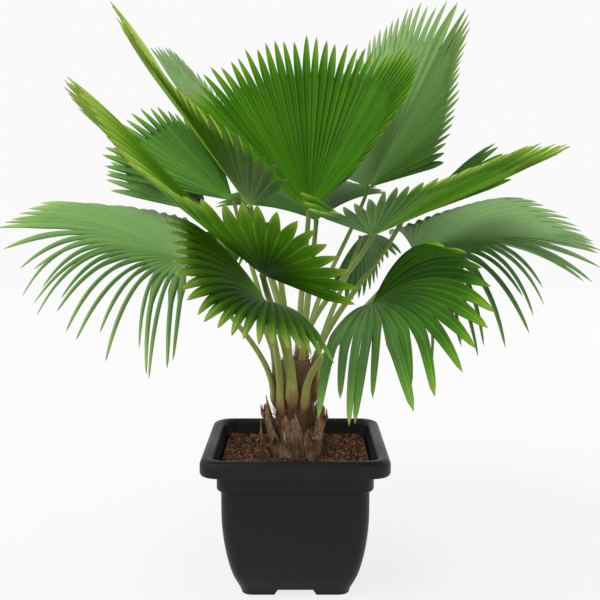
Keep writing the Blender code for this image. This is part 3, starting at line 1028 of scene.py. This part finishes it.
# %% The stem tree
def stem_tree():
    w, given, out = new_tree(
        "palm_stem",
        ("Sides", "Int", 16), ("Flat top", "Float", 0.45), ("Thorn length", "Float", 0.0030),
        ("Thorn spacing", "Float", 0.012), ("Thorny share", "Float", 0.72), ("Seed", "Int", 1),
        ("Finish", "Material", None), ("Thorn finish", "Material", None),
    )
    line = w.result("GeometryNodeMeshToCurve", {"Mesh": given["Geometry"]})
    put = {"Resolution": given["Sides"], "Radius": 1.0}
    ring = w.result("GeometryNodeCurvePrimitiveCircle", put)
    spot = w.node("ShaderNodeSeparateXYZ", {0: w.result("GeometryNodeInputPosition")})
    flat = w.times(w.over_zero(spot.outputs[1]), given["Flat top"])
    lower = w.add(w.math("MINIMUM", spot.outputs[1], 0.0), flat)
    outline = w.result("ShaderNodeCombineXYZ", {0: spot.outputs[0], 1: lower})
    ring = w.result("GeometryNodeSetPosition", {"Geometry": ring, "Position": outline})
    thick = w.stored("thick")
    put = {"Curve": line, "Profile Curve": ring, "Scale": thick, "Fill Caps": True}
    parts = [w.covered(w.result("GeometryNodeCurveToMesh", put), given["Finish"])]

    put = {"Curve": line, "Length": given["Thorn spacing"]}
    dots = w.node("GeometryNodeCurveToPoints", put, mode="LENGTH").outputs
    put = {"Vertices": 5, "Radius Bottom": 0.28, "Depth": 1.0}
    cone = w.result("GeometryNodeMeshCone", put, fill_type="NGON")
    size = w.times(given["Thorn length"], w.chance(0.5, 1.3, given["Seed"]))
    put = {0: w.stored("climb"), 1: given["Thorny share"]}
    low = w.result("FunctionNodeCompare", put, operation="LESS_THAN")
    for side in (1.0, -1.0):
        edge = w.scaled(dots["Normal"], side)
        put = {"Geometry": dots["Points"], "Offset": w.scaled(edge, w.times(thick, 0.80))}
        points = w.result("GeometryNodeSetPosition", put)
        hook = w.vector("ADD", edge, w.scaled(dots["Tangent"], -0.5))
        aim = w.aimed(hook, Rotation=dots["Rotation"])
        thorns = w.real_copies(points, cone, Selection=low, Rotation=aim, Scale=size)
        parts.append(w.covered(thorns, given["Thorn finish"]))
    w.feed(out, w.smooth(w.joined(*parts)))
    return w.tree


# %% Stem materials
def stem_material():
    made, shader, w = plain_material("green_stem", (0.20, 0.28, 0.06), 0.42, 0.3)
    streaks = w.noise(w.place(0.08), 260.0, 3.0)
    blotches = w.noise(w.place(), 24.0, 3.0)
    colour = w.colours(
        w.add(w.carried("climb"), w.fitted(blotches, 0.3, -0.15)),
        (0.10, (0.230, 0.130, 0.050)), (0.20, (0.270, 0.290, 0.060)),
        (0.48, (0.210, 0.270, 0.055)), (0.80, (0.160, 0.230, 0.040)),
        (1.00, (0.105, 0.165, 0.025)),
    )
    colour = w.mixed(1.0, colour, w.grey(w.fitted(streaks, 0.7, 0.65)), "MULTIPLY")
    w.finish(shader, colour, streaks, 0.5, 0.0006)
    return made


def thorn_material():
    made, shader, w = plain_material("stem_thorn", (0.16, 0.11, 0.04), 0.5)
    share = w.noise(w.place(), 90.0)
    colour = w.mixed(share, (0.220, 0.200, 0.070, 1), (0.100, 0.055, 0.020, 1))
    w.feed(shader.inputs["Base Color"], colour)
    return made


# %% Grow the stems
palm_stem = stem_tree()
green_stem = stem_material()
stem_thorn = thorn_material()
for number, leaf in LEAVES.items():
    stem = grown(
        f"stem_{number}", stem_guide(number, leaf), palm_stem,
        seed=int(number), finish=green_stem, thorn_finish=stem_thorn,
    )
    finish_piece(stem, "leaf_stem", f"leaf_{number}_stem")

# %% [markdown]
# ## The trunk
#
# A young fan palm's trunk is short and shaggy. Torn leaf bases wrap it, and a mat of coarse brown
# fibre fills what shows between them. The core is turned from its outline with rough bark pressed
# into it, and fibres are scattered over it, each lying along the trunk and lifting at its end.


# %% Trunk core
BARK_SUNK = 0.0025
BARK_ROUGH = 0.004
BARK_STEP = 0.0015


def trunk_core():
    rows, around = 60, 72
    points = []
    chance = random.Random(5)
    waves = [
        (chance.randint(2, 13), chance.uniform(8, 60), chance.uniform(0, 6.3)) for _ in range(14)
    ]
    for row in range(rows + 1):
        z = trunk_low.z + (TRUNK_TOP - trunk_low.z) * row / rows
        for step in range(around):
            angle = 2 * math.pi * step / around
            rough = sum(math.sin(n * angle + k * z + p) for n, k, p in waves) / len(waves)
            steps = 0.5 + 0.5 * math.sin(110 * z + 3 * math.sin(2 * angle))
            out = trunk_radius(z) - BARK_SUNK + BARK_ROUGH * rough + BARK_STEP * steps
            points.append(out_from_axis(out, angle, z))
    rings = [points[row * around : (row + 1) * around] for row in range(rows + 1)]
    return skinned("trunk_skin", rings)


# %% The fibre tree
def fibre_tree():
    w, given, out = new_tree(
        "trunk_fibre",
        ("Density", "Float", 12000.0), ("Fibre length", "Float", 0.034),
        ("Fibre width", "Float", 0.0007), ("Lift", "Float", 0.50), ("Seed", "Int", 3),
        ("Finish", "Material", None),
    )
    dots = w.scattered(given).outputs
    wide = w.math("DIVIDE", given["Fibre width"], given["Fibre length"])
    put = {"Vertices": 3, "Side Segments": 3, "Radius Top": 0, "Radius Bottom": wide, "Depth": 1}
    hair = w.result("GeometryNodeMeshCone", put, fill_type="NGON")
    upwards = w.chance((-0.45, -0.45, 0.2), (0.45, 0.45, 1.0), given["Seed"])
    aim = w.vector("ADD", upwards, w.scaled(dots["Normal"], given["Lift"]))
    size = w.times(given["Fibre length"], w.chance(0.4, 1.2))
    real = w.real_copies(
        dots["Points"], hair, Rotation=w.aimed(aim), Scale=size, Shade=w.chance(0.0, 1.0)
    )
    w.feed(out, w.covered(w.joined(w.smooth(given["Geometry"]), real), given["Finish"]))
    return w.tree


def fibre_material():
    made, shader, w = plain_material("palm_fibre", (0.08, 0.04, 0.02), 0.85)
    strands = w.noise(w.place(0.15), 220.0, 4.0)
    colour = w.colours(
        w.add(w.times(w.carried("shade"), 0.45), w.times(strands, 0.6)),
        (0.12, (0.050, 0.022, 0.010)), (0.50, (0.180, 0.085, 0.038)),
        (0.90, (0.430, 0.270, 0.150)),
    )
    w.finish(shader, colour, strands, 0.8, 0.0015)
    return made


# %% Make the trunk
trunk_fibre = fibre_tree()
palm_fibre = fibre_material()
trunk = grown("fibrous_trunk", trunk_core(), trunk_fibre, finish=palm_fibre)
finish_piece(trunk, "trunk", "trunk")

# %% [markdown]
# Each old leaf base is a torn plate that hugs the trunk and leans out at its top. It is thick and
# rounded in its middle, papery at its edges, ribbed along its length and ragged where it tore.

# %% Old leaf bases
PLATE_WALL = 0.0022
PLATE_SUNK = 0.012  # how far a foot runs down into the soil
PLATE_TAPER = 0.55
PLATE_TWIST = 20
PLATE_RIBS = 0.0009
PLATE_BULGE = 0.0035
PLATE_CURL = 0.010
TORN_WAVES = 0.010
TORN_RAGS = 0.0075
TORN_SLOPE = 0.020  # how much lower the sides are than the middle
OLD_BASES = (
    # degrees around the trunk, width in degrees, foot height, top height, distance out, flare
    (275, 56, 0.292, 0.378, 0.0560, 0.012),
    (215, 56, 0.292, 0.396, 0.0560, 0.016),
    (335, 54, 0.292, 0.412, 0.0560, 0.018),
    (155, 54, 0.292, 0.388, 0.0560, 0.014),
    (95, 56, 0.292, 0.400, 0.0560, 0.016),
    (35, 54, 0.292, 0.384, 0.0560, 0.013),
    (245, 46, 0.292, 0.345, 0.0650, 0.020),
    (305, 44, 0.292, 0.352, 0.0650, 0.022),
    (190, 42, 0.292, 0.340, 0.0650, 0.020),
)


def old_base(index, around, width, foot, top, distance, flare):
    across, levels = 33, 26
    chance = random.Random(40 + index)
    ribs = [chance.uniform(-1, 1) for _ in range(across)]
    ragged = [chance.uniform(-1, 1) * (1 + 2 * (i % 4 == 0)) for i in range(across)]
    twist = chance.uniform(-PLATE_TWIST, PLATE_TWIST)
    foot -= PLATE_SUNK
    points, shades, rises = [], [], []
    for level in range(levels):
        rise = level / (levels - 1)
        for step in range(across):
            side = 2 * step / (across - 1) - 1
            spread = width * (1 - PLATE_TAPER * rise**1.4)
            angle = math.radians(around + twist * rise**2 + spread * side / 2)
            rib = PLATE_RIBS * ribs[step] + PLATE_BULGE * (1 - side * side) * (1 - 0.6 * rise)
            curl = PLATE_CURL * rise**3 * side * side
            out = distance + flare * rise**1.6 + rib + curl - 0.002
            torn = TORN_WAVES * math.cos(2.2 * step / 8 + around) * rise
            torn += TORN_RAGS * ragged[step] * rise**6 - TORN_SLOPE * side * side * rise
            z = foot + (top - foot) * rise + torn
            points.append(out_from_axis(out, angle, z))
            shades.append(0.5 + 0.5 * ribs[step])
            rises.append(rise)
    mesh = plain_mesh(f"old_base_{index}", points, faces=sheet_faces(levels, across))
    store(mesh, "shade", shades)
    store(mesh, "rise", rises)
    source = add_piece(f"old_base_{index}_source", mesh)
    thicken(source, PLATE_WALL)
    return settled(source, f"old_base_{index}")


def old_base_material():
    made, shader, w = plain_material("dry_leaf_base", (0.20, 0.13, 0.08), 0.8)
    strands = w.noise(w.place(0.12), 330.0, 4.0)
    patches = w.noise(w.place(), 38.0, 3.0)
    tone = w.add(w.times(strands, 0.75), w.times(w.carried("shade"), 0.2))
    colour = w.colours(
        w.add(tone, w.times(w.minus(patches, 0.5), 0.5)),
        (0.26, (0.085, 0.040, 0.018)), (0.50, (0.270, 0.165, 0.090)),
        (0.74, (0.560, 0.440, 0.300)),
    )
    warm = w.times(w.ramp(patches, 0.52, 0.66), w.ramp(w.carried("rise"), 0.2, 0.6))
    colour = w.mixed(w.times(warm, 0.75), colour, (0.330, 0.135, 0.030, 1))
    w.finish(shader, colour, strands, 0.9, 0.0012)
    return made


dry_leaf_base = old_base_material()
for index, shape in enumerate(OLD_BASES, 1):
    base = old_base(index, *shape)
    base.data.materials.append(dry_leaf_base)
    base.data.shade_smooth()
    finish_piece(base, "old_leaf_base", f"old_leaf_base_{index}")

# %% [markdown]
# ## The soil
#
# The planter is filled with bark and coir. The model's own solid stays as the bed, with a rough
# brown finish. Crumbs lie all over it: flat chips, short chunks and threads in browns and a few
# pale bits. They are scattered over a gently mounded sheet just above the bed.


# %% Sheet that the crumbs lie on
SHEET_GAP = 0.010  # from the planter's wall
SHEET_SUNK = 0.002
SHEET_ROUGH = 0.004
MOUND = 0.006
MOUND_HALF = 0.12


def crumb_sheet():
    steps = 56
    half = COLLAR_HALF - WALL - SHEET_GAP
    chance = random.Random(8)
    waves = [
        (chance.uniform(20, 90), chance.uniform(20, 90), chance.uniform(0, 6.3)) for _ in range(10)
    ]
    points = []
    for row in range(steps + 1):
        for column in range(steps + 1):
            x = half * (2 * column / steps - 1)
            y = half * (2 * row / steps - 1)
            rough = sum(math.sin(a * x + b * y + p) for a, b, p in waves) / len(waves)
            mound = MOUND * max(0.0, 1 - max(abs(x), abs(y)) / MOUND_HALF)
            z = SOIL_TOP - SHEET_SUNK + mound + SHEET_ROUGH * rough
            points.append(AXIS + Vector((x, y, z)))
    return plain_mesh("crumb_sheet", points, faces=sheet_faces(steps + 1, steps + 1))


# %% The crumb tree
def crumb_tree():
    w, given, out = new_tree(
        "bark_crumbs",
        ("Density", "Float", 70000.0), ("Crumb size", "Float", 0.0036), ("Seed", "Int", 11),
        ("Finish", "Material", None),
    )
    dots = w.scattered(given).outputs
    chip = w.result("GeometryNodeMeshIcoSphere", {"Radius": 1.0, "Subdivisions": 1})
    stretch = w.chance((0.5, 0.35, 0.3), (2.3, 1.1, 0.8), w.add(given["Seed"], 1.0))
    big = w.math("POWER", w.chance(0.0, 1.0), 6.0)
    size = w.times(given["Crumb size"], w.fitted(big, 1.3, 0.55))
    real = w.real_copies(
        dots["Points"], chip, Rotation=w.chance((0, 0, 0), (6.3, 6.3, 6.3)),
        Scale=w.scaled(stretch, size), Shade=w.chance(0.0, 1.0, w.add(given["Seed"], 7.0)),
    )
    w.feed(out, w.covered(real, given["Finish"]))
    return w.tree


def soil_material(name, by_crumb):
    made, shader, w = plain_material(name, (0.05, 0.02, 0.01), 0.9)
    rough = w.noise(w.place(), 420.0, 4.0)
    tone = w.add(w.carried("shade"), w.fitted(rough, 0.16, -0.08)) if by_crumb else rough
    colour = w.colours(
        tone,
        (0.00, (0.014, 0.007, 0.004)), (0.40, (0.085, 0.030, 0.012)),
        (0.75, (0.200, 0.075, 0.028)), (0.92, (0.270, 0.125, 0.050)),
        (1.00, (0.300, 0.190, 0.110)),
    )
    w.finish(shader, colour, rough, 0.8, 0.001)
    return made


# %% Make the soil
bark_crumbs = crumb_tree()
crumbs = grown("soil_crumbs", crumb_sheet(), bark_crumbs, finish=soil_material("bark_crumb", True))
finish_piece(crumbs, "soil")
bed = frame["nodes"]["soil"]
bed.data.materials.clear()
bed.data.materials.append(soil_material("soil_bed", False))

# %% Sizes and finish
shown_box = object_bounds()
for axis in range(3):
    side = cad_box[1][axis] - cad_box[0][axis]
    spare = 0.03 * side + 0.010
    under = cad_box[0][axis] - shown_box[0][axis]
    over = shown_box[1][axis] - cad_box[1][axis]
    print("xyz"[axis], "outside by", round(max(under, over), 4), "allowed", round(spare, 4))
